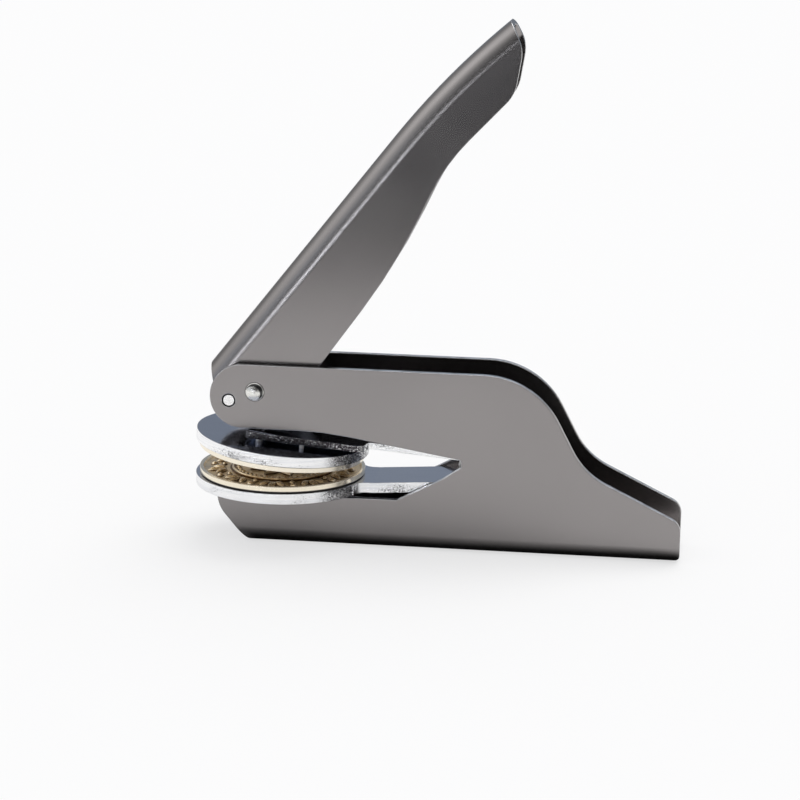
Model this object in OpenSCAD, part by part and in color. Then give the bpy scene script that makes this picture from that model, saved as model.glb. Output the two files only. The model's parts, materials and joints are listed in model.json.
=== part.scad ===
// Hand-held seal embosser: a folded channel frame, a folded lever with an involute cam,
// and a hairpin insert of two stamped arms that carries a pair of round relief dies.
// Lengths are in millimetres. Side outlines are drawn with x along the base, from the
// frame's front bottom edge towards its tail, and z upwards. The origin of the finished
// part is the middle of the flat base.

/* [Frame] */
// Length of the flat base, front edge to tail
base_len = 110.5; // [104:0.5:118]
// Outside width of the folded channel
frame_w = 19.4; // [18.4:0.1:23]
// Sheet thickness of the frame
frame_t = 1.5; // [1.2:0.1:1.8]
// Outside radius of the two bottom bends
frame_bend_r = 4; // [2.5:0.1:5]
// Height of the upper jaw, from its lower edge to its top
jaw_h = 16.3; // [15.6:0.1:19]
// Height of the lower jaw's top edge
lower_jaw_z = 13; // [12:0.1:13.3]
// Distance behind the base's front edge where the lower jaw starts to climb
climb_x = 39.4; // [37:0.1:41]
// Reach of the upper jaw's nose in front of the base
nose_reach = 8.3; // [7.5:0.1:9]
// Distance of the throat's end behind the base's front edge
throat_x = 55.4; // [54:0.1:57]
// Width of the throat's rounded end
throat_end = 2; // [1.6:0.1:2.4]
// Height of the tail's top corner
tail_z = 10.4; // [9:0.1:12]

/* [Pivot] */
// Distance of the lever's pivot behind the base's front edge
pivot_x = 3.1; // [2.8:0.05:3.4]
// Height of the lever's pivot above the upper jaw's lower edge
pivot_rise = 9.5; // [9.2:0.05:9.8]
// Diameter of the pivot rivet
pivot_d = 4; // [3.4:0.1:4.2]
// Diameter of the rivet's domed heads
rivet_head_d = 4.9; // [4.6:0.1:6]
// Height of the rivet's domed heads
rivet_head_h = 0.95; // [0.7:0.05:1.3]
// Wall of the bush in the lever
bush_wall = 0.9; // [0.7:0.05:1.1]
// Diameter of the stop pin's ends
stop_d = 2.9; // [2.4:0.1:3.1]
// Diameter of the stop pin's thicker middle
stop_body_d = 3.8; // [3.6:0.05:4]
// Distance of the stop pin in front of the pivot
stop_dx = 6.6; // [6.4:0.05:7]
// Distance of the stop pin below the pivot
stop_dz = 2.5; // [2.2:0.05:2.8]

/* [Lever] */
// Length of the lever along its web
lever_len = 114.2; // [105:0.1:125]
// Thickness of the washers beside the lever
washer_t = 0.9; // [0.7:0.05:1.2]
// Sheet thickness of the lever
lever_t = 1.5; // [1.2:0.1:1.8]
// Outside radius of the lever's two bends
lever_bend_r = 5.2; // [3:0.1:5.4]
// Angle of the lever above the base at rest
lever_angle = 52.2; // [45:0.1:55]
// Travel of the lever from rest until the dies meet
lever_travel = 38; // [36:0.5:39]
// Radius of the web's gentle curve towards the tip
crown_r = 200; // [180:5:260]
// Start of that curve, from the web's front edge
crown_start = 74; // [68:1:80]
// Distance of the pivot behind the web's front edge
pivot_u = 3; // [2.6:0.1:3.4]
// Depth of the pivot below the web
pivot_v = 13.1; // [12.6:0.1:13.6]
// Radius of the lever's nose round the pivot
nose_r = 4.7; // [4.2:0.05:4.8]

/* [Insert] */
// Diameter of the two round discs
disc_d = 44.1; // [40:0.1:48]
// Distance of the discs' centre behind the base's front edge
disc_x = 8.8; // [8:0.1:9.5]
// Thickness of the discs and of the lower arm
disc_t = 2.6; // [2.2:0.1:2.8]
// Thickness of the upper arm
arm_t = 1.6; // [1.2:0.1:1.7]
// Width of both arms
arm_w = 15; // [12:0.1:15.4]
// Length of the upper arm's wide pad
pad_len = 30.2; // [28:0.1:32]
// Width of the upper arm's wide pad
pad_w = 25; // [22:0.1:28]
// Gap between the upper disc and the upper arm
post_h = 0.95; // [0.6:0.05:1]
// Gap between the lower jaw's top edge and the lower disc
seat_rise = 1; // [0.8:0.05:1.4]
// Slope of the lower arm behind the disc
arm_slope = 3.8; // [2.5:0.1:4.5]
// Width of the lower arm's narrow tail
tail_w = 5; // [4.4:0.1:7]
// Opening angle of the insert at rest
open_angle = 4.9; // [4.6:0.1:5.1]
// Diameter of the pin on which the upper arm rocks
rocker_d = 2.9; // [2.6:0.05:3]
// Height of the gap between the hinge block and the upper arm
rocker_gap = 2.45; // [2.3:0.05:2.5]
// Width of the hinge block
block_w = 13; // [11:0.5:14.4]
// Width of the spring clip
clip_w = 8; // [6:0.5:11]
// Thickness of the spring clip
clip_t = 0.8; // [0.6:0.05:1]
// Diameter of the clip's rivets
clip_rivet_d = 2.4; // [2:0.1:2.6]

/* [Dies] */
// Diameter of the relief dies
die_d = 42.2; // [38:0.1:43]
// Thickness of each die at its rim
die_t = 1.3; // [1.1:0.05:1.6]
// Thickness of the dark pad under each die
pad_t = 0.3; // [0.2:0.05:0.5]
// Width of the dies' flat rim
rim_w = 2.2; // [1.6:0.1:3]
// Depth of the field inside the rim
field_depth = 0.5; // [0.3:0.05:0.7]
// Radius of the raised ring round the middle
ring_r = 9; // [6:0.1:11]
// Width of that ring
ring_w = 0.8; // [0.5:0.1:1.4]
// Space left for the paper when the dies are closed
paper_gap = 0.1; // [0.05:0.05:0.2]

/* [Anvil] */
// Length of the anvil block that carries the insert
anvil_len = 24; // [20:0.5:27]
// Diameter of the two locating pegs
peg_d = 3; // [2.4:0.1:4]
// Distance between the pegs
peg_pitch = 14; // [11:0.5:16]
// Diameter of the two screws in the base
screw_d = 3; // [2.8:0.1:3]
// Length of those screws
screw_len = 7; // [6:0.5:9]

/* [Cam] */
// Reach of the cam's heel from the pivot
cam_heel = 16; // [15:0.1:16.4]
// Reach of the cam's back from the pivot
cam_back = 13.4; // [12:0.1:14]
// Diameter of the cam's rivets
cam_rivet_d = 3; // [2.4:0.1:3.2]

/* [Hidden] */
$fn = 64;
arc_step = 5;            // angle between points on a rounded corner
run_fit = 0.04;          // radial clearance of a turning pin
seat_fit = 0.02;         // radial clearance of a fixed pin
side_gap = 0.1;          // side clearance between stacked pieces
skin_gap = 0.05;         // gap between pieces that are riveted together
jaw_gap = 0.15;          // gap between the raised upper arm and the jaw
stop_gap = 0.1;          // distance between the lever and its stop pin
ring_gap = 0.3;          // radial gap round the stop pin's ends
cam_gap = 0.1;           // distance between the cam and the arm it presses
frame_in = frame_w - 2 * frame_t;
lever_w = frame_in - 2 * (washer_t + 2 * side_gap);
lever_in = lever_w - 2 * lever_t;
half_base = base_len / 2;
disc_r = disc_d / 2;
die_r = die_d / 2;

// heights in the insert, with the dies closed
insert_z = lower_jaw_z + seat_rise;
lower_top = insert_z + disc_t;
lower_die_z = lower_top + pad_t;
lower_die_top = lower_die_z + die_t;
upper_die_z = lower_die_top + paper_gap;
upper_pad_z = upper_die_z + die_t;
upper_disc_z = upper_pad_z + pad_t;
post_z = upper_disc_z + disc_t;
arm_z = post_z + post_h;
arm_top = arm_z + arm_t;

// the lower arm climbs a little behind the disc, and its tail carries the hinge block
climb_start = disc_x + disc_r + 2.2;
block_x = throat_x - 0.9;
block_len = 8.6;
tail_top = lower_top + (block_x - 1 - climb_start) * tan(arm_slope);
tail_bottom = tail_top - disc_t;
block_top = arm_z - rocker_gap;
hinge_x = block_x + rocker_d / 2;
hinge_z = arm_z - rocker_gap / 2;
arm_end = block_x + block_len + 0.9;
clip_rivet_x = block_x + block_len * 0.64;

// heights of the upper jaw, which lies on the raised arm
pad_front = disc_x - 8;
jaw_z = hinge_z + (hinge_x - pad_front) * sin(open_angle) + (arm_top - hinge_z) * cos(open_angle) + jaw_gap;
frame_h = jaw_z + jaw_h;
pivot_z = jaw_z + pivot_rise;

// the stop pin touches the lever's front edge along a line through the pivot
stop_dist = norm([stop_dx, stop_dz]);
stop_angle = 180 + atan2(stop_dz, stop_dx) - asin((stop_body_d / 2 + stop_gap) / stop_dist);

// the cam turns by the lever's travel and the arm tilts back by its own
press_drop = (hinge_x - pivot_x) * sin(open_angle) + (pivot_z - hinge_z) * (1 - cos(open_angle));
press_closed = pivot_z - arm_top;
press_open = press_closed - press_drop;
cam_turn = lever_travel + open_angle;
cam_base_r = press_drop / (cam_turn * PI / 180);

// ---- outlines ----

function unit(v) = v / norm(v);
function polar(r, a) = r * [cos(a), sin(a)];
function turn_sign(a, b, c) = sign((b.x - a.x) * (c.y - b.y) - (b.y - a.y) * (c.x - b.x));

// points of the arc of radius r that rounds corner b between a and c
function corner(a, b, c, r) =
    let (
        to_a = unit(a - b),
        to_c = unit(c - b),
        half = acos(to_a * to_c) / 2,
        centre = b + unit(to_a + to_c) * r / sin(half),
        first = b + to_a * r / tan(half) - centre,
        sweep = (180 - 2 * half) * turn_sign(a, b, c),
        steps = max(2, ceil(abs(sweep) / (r < 3 ? 3 * arc_step : arc_step))),
        a0 = atan2(first.y, first.x)
    )
    [for (i = [0 : steps]) centre + polar(r, a0 + sweep * i / steps)];

// closed outline through [x, y, radius] corners
function rounded(pts) =
    [for (i = [0 : len(pts) - 1])
        let (
            n = len(pts),
            a = pts[(i + n - 1) % n],
            b = pts[i],
            c = pts[(i + 1) % n]
        )
        each (b[2] > 0 ? corner([a.x, a.y], [b.x, b.y], [c.x, c.y], b[2]) : [[b.x, b.y]])];

// open path through [x, y, radius] corners, its two ends left sharp
function rounded_path(pts) =
    [for (i = [0 : len(pts) - 1])
        each (i == 0 || i == len(pts) - 1 || pts[i][2] == 0
            ? [[pts[i].x, pts[i].y]]
            : corner([pts[i - 1].x, pts[i - 1].y], [pts[i].x, pts[i].y],
                     [pts[i + 1].x, pts[i + 1].y], pts[i][2]))];

// left-hand normal of a path at point i
function path_normal(p, i) =
    let (
        a = p[max(i - 1, 0)],
        c = p[min(i + 1, len(p) - 1)],
        t = unit(c - a)
    )
    [-t.y, t.x];

// outline of a strip of thickness t, centred on a path
function strip(p, t) = concat(
    [for (i = [0 : len(p) - 1]) p[i] + path_normal(p, i) * t / 2],
    [for (i = [len(p) - 1 : -1 : 0]) p[i] - path_normal(p, i) * t / 2]
);

// where a point of the closed insert lies when it is open
function opened_point(x, z) = [
    hinge_x + (x - hinge_x) * cos(open_angle) + (z - hinge_z) * sin(open_angle),
    hinge_z - (x - hinge_x) * sin(open_angle) + (z - hinge_z) * cos(open_angle)
];

// ---- helpers ----

// from drawing coordinates to the part's own frame
module placed() {
    translate([-half_base, 0, 0]) children();
}

// a side outline, extruded to width w about the middle plane
module across(w) {
    rotate([90, 0, 0]) linear_extrude(height = w, center = true) children();
}

// a pin across the part, from y = y0 to y = y1
module cross_pin(r, y0, y1) {
    translate([0, y1, 0]) rotate([90, 0, 0]) cylinder(r = r, h = y1 - y0);
}

// a domed head of height h, its flat side on y = y0, on the side given by s
module domed_head(r, h, y0, s) {
    sphere_r = (r * r + h * h) / (2 * h);
    rotate([s > 0 ? -90 : 90, 0, 0]) translate([0, 0, abs(y0)]) rotate_extrude()
        intersection() {
            translate([0, h - sphere_r]) circle(r = sphere_r);
            square([r, h]);
        }
}

// put the moving half of the insert at its rest angle
module opened() {
    translate([hinge_x, 0, hinge_z]) rotate([0, open_angle, 0]) translate([-hinge_x, 0, -hinge_z])
        children();
}

// put a lever piece, drawn along the web with its top at zero, at its rest angle
module on_lever() {
    translate([pivot_x, 0, pivot_z]) rotate([0, -lever_angle, 0]) translate([-pivot_u, 0, pivot_v])
        children();
}

// ---- frame ----

// a folded U with its bends at the bottom: w wide, bend radius r
module u_outline(w, r, h) {
    translate([-w / 2, r]) square([w, h - r]);
    translate([r - w / 2, 0]) square([w - 2 * r, h]);
    for (s = [-1, 1]) translate([s * (w / 2 - r), r]) circle(r = r);
}

module channel_section() {
    difference() {
        u_outline(frame_w, frame_bend_r, frame_h + 5);
        translate([0, frame_t]) u_outline(frame_in, frame_bend_r - frame_t, frame_h + 5);
    }
}

jaw_bend_x = 20.3;
jaw_slope = 9.2;
ramp_slope = 27.8;
shoulder_slope = 62;
shoulder_x = base_len - 37.2;
tail_slope = 26;
tail_bend_x = base_len - 24.5;
tail_bend_z = frame_h - (tail_bend_x - shoulder_x) * tan(shoulder_slope);
jaw_end_z = jaw_z - (throat_x - jaw_bend_x) * tan(jaw_slope);
throat_low_z = jaw_end_z - throat_end;
climb_h = throat_low_z - lower_jaw_z - 3.3;

module frame_outline() {
    polygon(rounded([
        [1.7, 0, 2],
        [-5.7, lower_jaw_z * 0.68, 8],
        [-6.6, lower_jaw_z, 0.6],
        [climb_x, lower_jaw_z, 1],
        [climb_x + climb_h / tan(ramp_slope), lower_jaw_z + climb_h, 8],
        [throat_x, throat_low_z, 0.7],
        [throat_x, jaw_end_z, 0.8],
        [jaw_bend_x, jaw_z, 80],
        [-nose_reach, jaw_z, jaw_h / 2 - 0.01],
        [-nose_reach, frame_h, jaw_h / 2 - 0.01],
        [shoulder_x, frame_h, 21.5],
        [tail_bend_x, tail_bend_z, 18.5],
        [base_len, tail_z, 4],
        [base_len, 0, 2]
    ]));
}

module screw_places() {
    for (s = [-1, 1]) translate([disc_x + s * peg_pitch / 2, 0, 0]) children();
}

// a countersunk screw along z, its head down; grow widens it for its hole
module screw_shape(grow, len) {
    cylinder(r1 = screw_d + grow, r2 = screw_d / 2 + grow, h = screw_d / 2);
    cylinder(r = screw_d / 2 + grow, h = len);
}

module frame_shell() {
    color([0.57, 0.56, 0.55]) placed() difference() {
        intersection() {
            across(frame_w + 2) frame_outline();
            translate([-20, 0, 0]) rotate([90, 0, 90]) linear_extrude(height = base_len + 30)
                channel_section();
        }
        translate([pivot_x, 0, pivot_z]) cross_pin(pivot_d / 2 + seat_fit, -frame_w, frame_w);
        translate([pivot_x - stop_dx, 0, pivot_z - stop_dz])
            cross_pin(stop_d / 2 + ring_gap, -frame_w, frame_w);
        screw_places() translate([0, 0, frame_t - screw_d / 2 - skin_gap])
            screw_shape(skin_gap, frame_t + 1);
        screw_places() translate([0, 0, -1]) cylinder(r = screw_d + skin_gap, h = 1.01 + frame_t - screw_d / 2);
    }
}

module pivot_rivet() {
    color([0.88, 0.88, 0.9]) placed() translate([pivot_x, 0, pivot_z]) {
        cross_pin(pivot_d / 2, -frame_w / 2, frame_w / 2);
        for (s = [-1, 1]) domed_head(rivet_head_d / 2, rivet_head_h, frame_w / 2, s);
    }
}

module pivot_washers() {
    color([0.8, 0.8, 0.82]) placed() translate([pivot_x, 0, pivot_z]) for (s = [-1, 1]) difference() {
        translate([0, s * (frame_in + lever_w) / 4, 0]) cross_pin(pivot_d, -washer_t / 2, washer_t / 2);
        cross_pin(pivot_d / 2 + run_fit, -frame_w, frame_w);
    }
}

module stop_pin() {
    color([0.9, 0.9, 0.9]) placed() translate([pivot_x - stop_dx, 0, pivot_z - stop_dz]) {
        cross_pin(stop_body_d / 2, side_gap / 2 - frame_in / 2, frame_in / 2 - side_gap / 2);
        cross_pin(stop_d / 2, side_gap - frame_w / 2, frame_w / 2 - side_gap);
    }
}

// ---- anvil ----

anvil_front = disc_x - anvil_len * 0.3;
peg_depth = 2.6;

// the block fills the channel, its lower corners rounded to clear the inside bends
module anvil_block() {
    color([0.45, 0.46, 0.48]) placed() difference() {
        translate([anvil_front, 0, frame_t]) rotate([90, 0, 90]) linear_extrude(height = anvil_len)
            u_outline(frame_in - 2 * side_gap, frame_bend_r, insert_z - frame_t);
        for (s = [-1, 1]) translate([disc_x + s * peg_pitch / 2, 0, insert_z - peg_depth - side_gap])
            cylinder(r = peg_d / 2 + run_fit, h = peg_depth + 1);
        screw_places() cylinder(r = screw_d / 2 + skin_gap, h = screw_len + 1);
    }
}

module anvil_screws() {
    color([0.7, 0.7, 0.72]) placed() screw_places() translate([0, 0, frame_t - screw_d / 2])
        screw_shape(0, screw_len);
}

// ---- lower half of the insert ----

module arm_neck(len, w, fillet) {
    // the concave corners where an arm leaves the disc
    reach = disc_r + fillet;
    neck_x = sqrt(reach * reach - pow(w / 2 + fillet, 2));
    difference() {
        translate([0, -w / 2 - fillet]) square([neck_x, w + 2 * fillet]);
        for (s = [-1, 1]) translate([neck_x, s * (w / 2 + fillet)]) circle(r = fillet);
    }
    translate([0, -w / 2]) square([len, w]);
}

// plan of the arm: straight, then 45 degree shoulders down to the tail
module arm_plan() {
    shoulder_end = block_x + 0.5;
    shoulder = (arm_w - tail_w) / 2;
    polygon([
        [climb_start - 1, -arm_w / 2],
        [shoulder_end - shoulder, -arm_w / 2],
        [shoulder_end, -tail_w / 2],
        [arm_end, -tail_w / 2],
        [arm_end, tail_w / 2],
        [shoulder_end, tail_w / 2],
        [shoulder_end - shoulder, arm_w / 2],
        [climb_start - 1, arm_w / 2]
    ]);
}

module lower_arm() {
    mid_z = lower_top - disc_t / 2;
    color([0.78, 0.79, 0.82]) placed() difference() {
        union() {
            translate([disc_x, 0, insert_z]) linear_extrude(height = disc_t) {
                circle(r = disc_r, $fn = 128);
                arm_neck(climb_start - disc_x, arm_w, 3);
            }
            intersection() {
                across(arm_w + 2) polygon(strip(rounded_path([
                    [climb_start - 1, mid_z, 0],
                    [climb_start, mid_z, 0],
                    [block_x - 1, tail_top - disc_t / 2, 0],
                    [arm_end, tail_top - disc_t / 2, 0]
                ]), disc_t));
                translate([0, 0, insert_z - 1]) linear_extrude(height = 10) arm_plan();
            }
        }
        for (s = [-1, 1]) translate([disc_x + s * peg_pitch / 2, 0, insert_z - 1])
            cylinder(r = peg_d / 2 + seat_fit, h = disc_t + 2);
        translate([clip_rivet_x, 0, tail_bottom - 1])
            cylinder(r = clip_rivet_d / 2 + seat_fit, h = disc_t + 2);
    }
}

module locating_pegs() {
    color([0.75, 0.75, 0.77]) placed() for (s = [-1, 1])
        translate([disc_x + s * peg_pitch / 2, 0, insert_z - peg_depth])
            cylinder(r = peg_d / 2, h = peg_depth + disc_t - skin_gap);
}

module lower_die_pad() {
    color([0.12, 0.1, 0.08]) placed() translate([disc_x, 0, lower_top])
        cylinder(r = die_r - 0.3, h = pad_t, $fn = 128);
}

// a round die, its face up: a rim, a sunk field and a raised ring
module die_face(raise) {
    difference() {
        cylinder(r = die_r, h = die_t, $fn = 128);
        translate([0, 0, die_t - field_depth]) difference() {
            cylinder(r = die_r - rim_w, h = field_depth + 1, $fn = 128);
            translate([0, 0, -1]) difference() {
                cylinder(r = ring_r, h = 1 + raise);
                translate([0, 0, -1]) cylinder(r = ring_r - ring_w, h = 4);
            }
        }
    }
}

module lower_die() {
    color([0.75, 0.68, 0.56]) placed() translate([disc_x, 0, lower_die_z]) die_face(field_depth - 0.1);
}

// ---- hinge and spring clip ----

// a block on the lower arm's tail, with a groove for the rocker pin
module hinge_block() {
    color([0.2, 0.2, 0.22]) placed() difference() {
        translate([block_x, -block_w / 2, tail_top]) cube([block_len, block_w, block_top - tail_top]);
        translate([hinge_x, 0, hinge_z]) cross_pin(rocker_d / 2 + seat_fit, -block_w, block_w);
        translate([clip_rivet_x, 0, tail_top - 1])
            cylinder(r = clip_rivet_d / 2 + seat_fit, h = block_top);
    }
}

module rocker_pin() {
    color([0.85, 0.85, 0.87]) placed() translate([hinge_x, 0, hinge_z])
        cross_pin(rocker_d / 2, -block_w / 2, block_w / 2);
}

clip_low = tail_bottom - skin_gap - clip_t / 2;
clip_high = arm_top + skin_gap + clip_t / 2;
clip_bend_x = arm_end + 0.9;

// a hairpin of spring strip: a leg under the tail, a round bend, a leg on the raised upper arm
module clip_spring() {
    front = clip_rivet_x - 2.6;
    top_end = opened_point(front, clip_high);
    top_z = top_end.y - (clip_bend_x - top_end.x) * tan(open_angle);
    bend_r = (top_z - clip_low) * cos(open_angle) / (1 + cos(open_angle));
    outline = concat(
        [[front, clip_low]],
        [for (i = [0 : 20])
            [clip_bend_x, clip_low + bend_r] + polar(bend_r, -90 + i * (180 - open_angle) / 20)],
        [top_end]
    );
    color([0.5, 0.52, 0.56]) placed() difference() {
        across(clip_w) polygon(strip(outline, clip_t));
        translate([clip_rivet_x, 0, clip_low - 1]) cylinder(r = clip_rivet_d / 2 + seat_fit, h = 2);
        opened() translate([clip_rivet_x, 0, arm_top]) cylinder(r = clip_rivet_d / 2 + seat_fit, h = 3);
    }
}

// a rivet along z: its shank from z0 to z1, with a flat head at each end
module clip_rivet(z0, z1, head_low, head_high) {
    head_r = clip_rivet_d * 0.85;
    translate([clip_rivet_x, 0, 0]) {
        translate([0, 0, z0 - head_low]) cylinder(r = head_r, h = head_low);
        translate([0, 0, z0]) cylinder(r = clip_rivet_d / 2, h = z1 - z0);
        if (head_high > 0) translate([0, 0, z1]) cylinder(r = head_r, h = head_high);
    }
}

module lower_clip_rivet() {
    color([0.8, 0.8, 0.82]) placed()
        clip_rivet(clip_low - clip_t / 2 - skin_gap / 2, block_top - skin_gap, 0.6, 0);
}

module upper_clip_rivet() {
    color([0.8, 0.8, 0.82]) placed() opened()
        clip_rivet(arm_z - skin_gap / 2, clip_high + clip_t / 2 + skin_gap / 2, 0.5, 0.6);
}

// ---- lever ----

module lever_section(w, r, top) {
    translate([0, -top]) mirror([0, 1]) u_outline(w, r, 40);
}

module lever_sheet(w, r, top) {
    crown_sweep = (lever_len + 6 - crown_start) / crown_r * 180 / PI;
    translate([-12, 0, 0]) rotate([90, 0, 90]) linear_extrude(height = crown_start + 12)
        lever_section(w, r, top);
    translate([crown_start, 0, -crown_r]) rotate([90, 0, 0]) rotate([0, 0, 90 - crown_sweep])
        rotate_extrude(angle = crown_sweep, $fn = 256) translate([crown_r, 0]) rotate(-90)
            lever_section(w, r, top);
}

// side outline of the lever, drawn along the web: u to the tip, its top at zero
function lever_outline() =
    let (
        pivot = [pivot_u, -pivot_v],
        stop_local = stop_angle - lever_angle,
        front = unit([-0.612, -0.791]),
        stop_dir = polar(1, stop_local),
        // where the front edge meets the line on the stop pin
        far = (pivot.x * front.y - pivot.y * front.x) / (stop_dir.y * front.x - stop_dir.x * front.y),
        hub_end = 212
    )
    rounded(concat(
        [
            [lever_len - 1.4, 3, 0],
            [0, 3, 0],
            [0, 0, 0.8],
            [pivot.x + stop_dir.x * far, pivot.y + stop_dir.y * far, 0.8]
        ],
        [for (i = [0 : 9])
            let (p = pivot + polar(nose_r, stop_local + (hub_end - stop_local) * i / 9))
            [p.x, p.y, 0]],
        [
            [7.5, -22, 5],
            [50, -20.3, 150],
            [77.9, -13.9, 50],
            [lever_len - 12.6, -16.2, 9],
            [lever_len - 2.8, -10.8, 9],
            [lever_len + 0.5, -4, 6]
        ]
    ));

module lever_shell() {
    color([0.5, 0.49, 0.49]) placed() on_lever() difference() {
        intersection() {
            difference() {
                lever_sheet(lever_w, lever_bend_r, 0);
                lever_sheet(lever_in, lever_bend_r - lever_t, lever_t);
            }
            across(lever_w + 2) polygon(lever_outline());
        }
        translate([pivot_u, 0, -pivot_v])
            cross_pin(pivot_d / 2 + run_fit + bush_wall + seat_fit, -lever_w, lever_w);
        cam_rivet_places() cross_pin(cam_rivet_d / 2 + seat_fit, -lever_w, lever_w);
    }
}

module cam_rivet_places() {
    translate([pivot_u, 0, -pivot_v]) for (a = [-62, -34])
        rotate([0, -a, 0]) translate([cam_heel * (a < -50 ? 0.42 : 0.59), 0, 0]) rotate([0, a, 0]) children();
}

// point of the involute with its contact normal at angle a in the rest position
function cam_point(a) =
    let (
        roll = press_open / cam_base_r + (a + 90 + open_angle) * PI / 180,
        n = polar(1, a),
        t = polar(1, a + 90)
    )
    (cam_base_r * roll - cam_gap) * n + cam_base_r * t;

module press_cam() {
    cam_w = lever_in - 2 * side_gap;
    first = -90 - open_angle - 20;
    last = -90 - open_angle + cam_turn + 7;
    outline = concat(
        [polar(nose_r, -98)],
        [for (i = [0 : 24]) cam_point(first + (last - first) * i / 24)],
        [polar(cam_heel, -14), polar(cam_back, 28), polar(nose_r, 80)]
    );
    color([0.62, 0.62, 0.64]) placed() difference() {
        translate([pivot_x, 0, pivot_z]) across(cam_w) union() {
            circle(r = nose_r);
            polygon(outline);
        }
        translate([pivot_x, 0, pivot_z])
            cross_pin(pivot_d / 2 + run_fit + bush_wall + seat_fit, -lever_w, lever_w);
        on_lever() cam_rivet_places() cross_pin(cam_rivet_d / 2 + seat_fit, -lever_w, lever_w);
    }
}

module cam_rivets() {
    color([0.8, 0.8, 0.82]) placed() on_lever() cam_rivet_places() {
        cross_pin(cam_rivet_d / 2, -lever_w / 2, lever_w / 2);
        for (s = [-1, 1]) domed_head(cam_rivet_d * 0.75, cam_rivet_d * 0.2, lever_w / 2, s);
    }
}

module pivot_bush() {
    color([0.72, 0.58, 0.35]) placed() translate([pivot_x, 0, pivot_z]) difference() {
        cross_pin(pivot_d / 2 + run_fit + bush_wall, -lever_w / 2, lever_w / 2);
        cross_pin(pivot_d / 2 + run_fit, -lever_w, lever_w);
    }
}

// ---- upper half of the insert ----

module upper_arm() {
    pad_end = pad_front + pad_len;
    color([0.7, 0.71, 0.74]) placed() opened() difference() {
        translate([0, 0, arm_z]) linear_extrude(height = arm_t) polygon(rounded([
            [pad_front, -pad_w / 2, 1.5],
            [pad_end, -pad_w / 2, 2.5],
            [pad_end, -arm_w / 2, 2],
            [arm_end, -arm_w / 2, 1],
            [arm_end, arm_w / 2, 1],
            [pad_end, arm_w / 2, 2],
            [pad_end, pad_w / 2, 2.5],
            [pad_front, pad_w / 2, 1.5]
        ]));
        translate([clip_rivet_x, 0, arm_z - 1]) cylinder(r = clip_rivet_d / 2 + seat_fit, h = arm_t + 2);
        translate([hinge_x, 0, hinge_z]) cross_pin(rocker_d / 2 + run_fit, -arm_w, arm_w);
    }
}

module upper_disc() {
    color([0.78, 0.79, 0.82]) placed() opened() translate([disc_x, 0, upper_disc_z])
        cylinder(r = disc_r, h = disc_t, $fn = 128);
}

// four short posts between the disc and the arm
module spacer_posts() {
    color([0.88, 0.88, 0.9]) placed() opened() for (s = [-1, 1]) {
        translate([disc_x - disc_r * 0.21, s * pad_w * 0.396, post_z])
            cylinder(r = post_h * 0.95, h = post_h);
        translate([disc_x + disc_r * 0.29, s * pad_w * 0.464, post_z])
            cylinder(r = post_h * 0.63, h = post_h);
    }
}

module upper_die_pad() {
    color([0.12, 0.1, 0.08]) placed() opened() translate([disc_x, 0, upper_pad_z])
        cylinder(r = die_r - 0.3, h = pad_t, $fn = 128);
}

module upper_die() {
    color([0.85, 0.8, 0.7]) placed() opened() translate([disc_x, 0, upper_pad_z]) mirror([0, 0, 1])
        die_face(0);
}

frame_shell();
pivot_rivet();
pivot_washers();
stop_pin();
anvil_block();
anvil_screws();
lower_arm();
locating_pegs();
lower_die_pad();
lower_die();
hinge_block();
rocker_pin();
clip_spring();
lower_clip_rivet();
lever_shell();
press_cam();
cam_rivets();
pivot_bush();
upper_arm();
upper_disc();
spacer_posts();
upper_die_pad();
upper_die();
upper_clip_rivet();
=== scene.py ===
# %% [markdown]
# # A desk seal embosser
#
# This lesson dresses a finished CAD model of a seal embosser. The machine is a folded steel channel
# with a long folded lever, and between its jaws sits a hairpin of two stamped arms that carries a
# pair of round relief dies. The CAD model gives every piece its place and size. What is left to do
# here is the finish of each piece, the fine relief of the dies, the studio and the camera.
#
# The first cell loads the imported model. It comes in metres, in the same frame as the CAD.

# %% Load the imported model
import json
import math

import bmesh
import bpy
import numpy as np
from mathutils import Matrix, Vector


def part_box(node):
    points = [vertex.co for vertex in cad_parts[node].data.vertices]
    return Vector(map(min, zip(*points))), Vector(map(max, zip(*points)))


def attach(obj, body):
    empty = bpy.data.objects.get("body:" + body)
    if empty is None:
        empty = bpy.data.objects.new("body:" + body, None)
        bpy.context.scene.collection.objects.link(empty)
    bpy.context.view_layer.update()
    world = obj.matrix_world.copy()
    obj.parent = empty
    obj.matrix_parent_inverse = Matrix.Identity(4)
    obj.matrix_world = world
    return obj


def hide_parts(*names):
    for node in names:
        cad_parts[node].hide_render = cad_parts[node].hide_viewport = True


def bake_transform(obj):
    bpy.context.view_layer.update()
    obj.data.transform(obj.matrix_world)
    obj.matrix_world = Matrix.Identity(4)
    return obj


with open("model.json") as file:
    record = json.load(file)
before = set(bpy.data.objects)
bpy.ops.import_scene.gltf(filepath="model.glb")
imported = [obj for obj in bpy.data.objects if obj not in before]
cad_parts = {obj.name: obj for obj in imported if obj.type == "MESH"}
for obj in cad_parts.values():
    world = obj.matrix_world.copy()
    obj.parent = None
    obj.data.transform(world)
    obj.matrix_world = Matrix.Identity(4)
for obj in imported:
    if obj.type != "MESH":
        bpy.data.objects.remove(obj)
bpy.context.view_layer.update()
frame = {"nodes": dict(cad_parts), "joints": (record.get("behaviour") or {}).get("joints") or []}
MM = 0.001
print("nodes:", sorted(frame["nodes"]))

# %% [markdown]
# ## The camera
#
# The picture was taken with a long lens from a little above the table. Its place follows from the
# machine's own straight edges: the wall's outline seen on the near and on the far wall gives the
# distance, and the round discs give the height. A camera in Blender looks along its own -Z, so the
# matrix below is filled with the picture's right, up and backward directions.

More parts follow.
